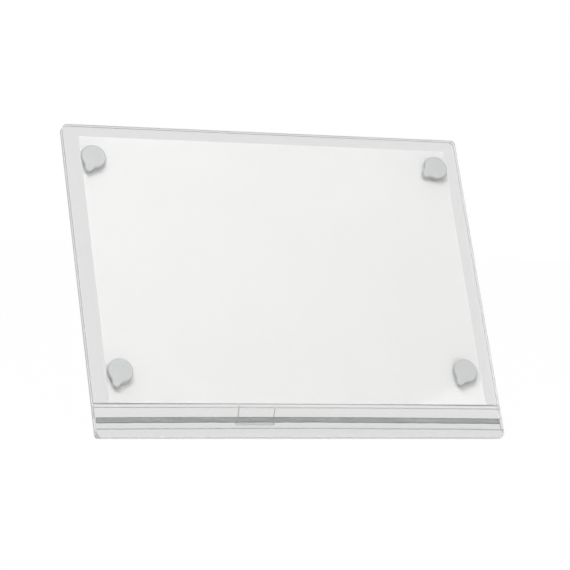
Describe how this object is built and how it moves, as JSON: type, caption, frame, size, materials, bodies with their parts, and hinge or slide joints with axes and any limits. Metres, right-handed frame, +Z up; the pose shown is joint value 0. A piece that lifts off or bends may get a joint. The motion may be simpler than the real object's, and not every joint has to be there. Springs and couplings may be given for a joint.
{
  "type": "photo album stand",
  "caption": "Clear leaning display stand: white sheet between two clear layers, round corner pads with pull tabs, bottom rail and folding rear leg.",
  "frame": {"origin": "on the surface the stand rests on, under the middle of its box", "axes": "+X to the viewer's right along the panel's width, +Y to the back, +Z up; the display face looks towards -Y and leans back"},
  "size_m": [0.32, 0.114, 0.2232],
  "materials": {
    "clear_acrylic": "clear, polished",
    "white_card": "smooth matte white sheet",
    "foam_tape": "matte dark grey foam tape",
    "soft_grey": "matte light grey",
    "nickel_plate": "nickel plated",
    "bright_steel": "bright zinc plated",
    "clear_rubber": "translucent, soft"
  },
  "bodies": {
    "panel": {"back_panel": "clear_acrylic", "bottom_rail": "clear_acrylic", "rail_bond_tape": "foam_tape", "keeper_disc_top_left": "bright_steel", "keeper_disc_top_right": "bright_steel", "keeper_disc_bottom_left": "bright_steel", "keeper_disc_bottom_right": "bright_steel", "hinge_bond_pad": "foam_tape", "hinge_leaf_fixed": "bright_steel", "hinge_pin": "bright_steel"},
    "cover": {"front_cover": "clear_acrylic"},
    "card": {"display_card": "white_card"},
    "corner_pad_top_left": {"pad_top_left": "soft_grey", "magnet_top_left": "nickel_plate"},
    "corner_pad_top_right": {"pad_top_right": "soft_grey", "magnet_top_right": "nickel_plate"},
    "corner_pad_bottom_left": {"pad_bottom_left": "soft_grey", "magnet_bottom_left": "nickel_plate"},
    "corner_pad_bottom_right": {"pad_bottom_right": "soft_grey", "magnet_bottom_right": "nickel_plate"},
    "leg": {"hinge_leaf_leg": "bright_steel", "support_leg": "clear_acrylic", "leg_screw_left": "bright_steel", "leg_screw_right": "bright_steel", "leg_foot": "clear_rubber"}
  },
  "joints": [
    {"name": "leg_fold", "type": "hinge", "parent": "panel", "child": "leg", "pos_m": [0, 0.01963, 0.13136], "axis": [-1, 0, 0], "range_deg": [0, 39]},
    {"name": "cover_lift_off", "type": "slide", "parent": "panel", "child": "cover", "axis": [0, -0.8988, 0.4384], "range_m": [0, 0.06]},
    {"name": "card_slide_out", "type": "slide", "parent": "panel", "child": "card", "axis": [0, 0.4384, 0.8988], "range_m": [0, 0.225]},
    {"name": "pad_pull_top_left", "type": "slide", "parent": "cover", "child": "corner_pad_top_left", "axis": [0, -0.8988, 0.4384], "range_m": [0, 0.04]},
    {"name": "pad_pull_top_right", "type": "slide", "parent": "cover", "child": "corner_pad_top_right", "axis": [0, -0.8988, 0.4384], "range_m": [0, 0.04]},
    {"name": "pad_pull_bottom_left", "type": "slide", "parent": "cover", "child": "corner_pad_bottom_left", "axis": [0, -0.8988, 0.4384], "range_m": [0, 0.04]},
    {"name": "pad_pull_bottom_right", "type": "slide", "parent": "cover", "child": "corner_pad_bottom_right", "axis": [0, -0.8988, 0.4384], "range_m": [0, 0.04]}
  ]
}
